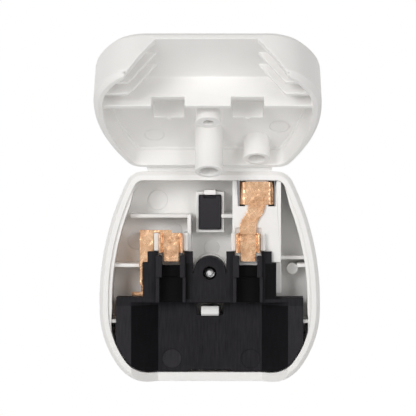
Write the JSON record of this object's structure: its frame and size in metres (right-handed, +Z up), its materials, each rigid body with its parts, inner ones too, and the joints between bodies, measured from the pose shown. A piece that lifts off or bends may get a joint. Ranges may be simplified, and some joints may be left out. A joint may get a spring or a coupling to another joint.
{
  "type": "european to british plug converter",
  "caption": "Clamshell housing that holds a two-pin European plug and fits a British socket, with its lid open.",
  "frame": {"origin": "earth pin's axis on the pin face, the face that lies against the wall socket", "axes": "+Y along the pins into the socket, +Z up towards the earth pin and the lid's hinge, +X to the right seen from the room"},
  "size_m": [0.053, 0.0812, 0.0836],
  "materials": {
    "white_plastic": "satin moulded",
    "black_plastic": "fine matt moulded",
    "pin_brass": "bright drawn",
    "contact_copper": "rolled copper strip",
    "fuse_ceramic": "plain ceramic",
    "fuse_cap_metal": "nickel plated",
    "screw_steel": "zinc plated"
  },
  "bodies": {
    "base": {"base_shell": "white_plastic", "hinge_web": "white_plastic", "contact_carrier": "black_plastic", "earth_pin": "black_plastic", "live_pin": "pin_brass", "neutral_pin": "pin_brass", "live_pin_sleeve": "black_plastic", "neutral_pin_sleeve": "black_plastic", "live_contact": "contact_copper", "neutral_contact": "contact_copper", "live_fuse_clip": "contact_copper", "cover_screw": "screw_steel"},
    "lid": {"lid_shell": "white_plastic"},
    "drawer": {"fuse_drawer": "black_plastic", "fuse_body": "fuse_ceramic", "fuse_cap_upper": "fuse_cap_metal", "fuse_cap_lower": "fuse_cap_metal"}
  },
  "joints": [
    {"name": "lid_hinge", "type": "hinge", "parent": "base", "child": "lid", "pos_m": [0, -0.01405, 0.0104], "axis": [-1, 0, 0], "range_deg": [-117, 58], "stiffness_Nm_per_rad": 0.0051, "springref_deg": 20, "deforming": ["hinge_web"]},
    {"name": "drawer_slide", "type": "slide", "parent": "base", "child": "drawer", "axis": [0, 1, 0], "range_m": [0, 0.011]}
  ]
}
